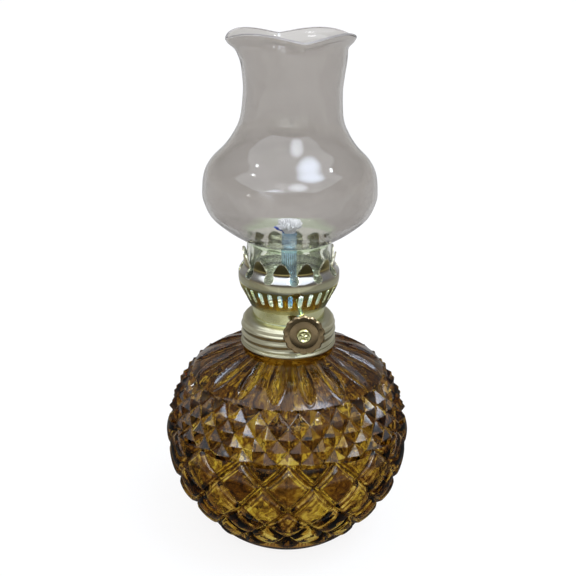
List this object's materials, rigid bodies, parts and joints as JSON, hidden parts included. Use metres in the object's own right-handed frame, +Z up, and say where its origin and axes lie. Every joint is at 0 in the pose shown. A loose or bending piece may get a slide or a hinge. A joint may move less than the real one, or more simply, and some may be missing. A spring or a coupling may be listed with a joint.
{
  "type": "kerosene lamp",
  "caption": "Table kerosene lamp: round amber glass font with a diamond pattern, brass screw burner with wick knob, clear glass chimney.",
  "frame": {"origin": "centre of the foot, on the table", "axes": "+Z up along the lamp's axis, -Y to the front where the knob is, +X to the right"},
  "size_m": [0.1022, 0.1022, 0.2141],
  "materials": {
    "amber_glass": "pressed soda glass, amber brown, polished",
    "clear_glass": "thin blown clear glass",
    "pale_brass": "bright brass-plated sheet, pale yellow gold",
    "satin_brass": "duller rolled brass-plated sheet",
    "dark_brass": "brown lacquered brass, bright at the edge",
    "zinc_steel": "zinc-plated steel, bluish",
    "white_cotton": "white cotton with a blue marker thread",
    "gasket_fibre": "brown fibre washer"
  },
  "bodies": {
    "font": {"font": "amber_glass"},
    "seal": {"neck_gasket": "gasket_fibre"},
    "burner": {"screw_collar": "satin_brass", "burner_floor": "pale_brass", "burner_drum": "pale_brass", "prong_crown": "pale_brass", "air_deck": "zinc_steel", "wick_tube": "zinc_steel", "spindle_sleeve": "pale_brass", "sprocket_housing": "pale_brass"},
    "knob": {"spindle": "zinc_steel", "wick_wheel_front": "zinc_steel", "wick_wheel_back": "zinc_steel", "wheel_spacer": "pale_brass", "knob": "dark_brass", "knob_rivet": "satin_brass"},
    "wick": {"wick": "white_cotton", "wick_tail": "white_cotton"},
    "chimney": {"chimney": "clear_glass"}
  },
  "joints": [
    {"name": "collar_lift", "type": "slide", "parent": "font", "child": "seal", "axis": [0, 0, 1], "range_m": [0, 0.0067]},
    {"name": "collar_turn", "type": "hinge", "parent": "seal", "child": "burner", "pos_m": [0, 0, 0.09], "axis": [0, 0, 1], "range_deg": [0, 720]},
    {"name": "knob_turn", "type": "hinge", "parent": "burner", "child": "knob", "pos_m": [0.006, 0, 0.1032], "axis": [0, 1, 0], "range_deg": [-24, 163]},
    {"name": "wick_raise", "type": "slide", "parent": "burner", "child": "wick", "axis": [0, 0, 1], "range_m": [-0.00146, 0.0099]},
    {"name": "chimney_lift", "type": "slide", "parent": "burner", "child": "chimney", "axis": [0, 0, 1], "range_m": [0, 0.045]}
  ],
  "couplings": [
    {"joint": "collar_lift", "follows": "collar_turn", "m_per_rad": 0.00052521},
    {"joint": "knob_turn", "follows": "wick_raise", "rad_per_m": 285.71}
  ]
}
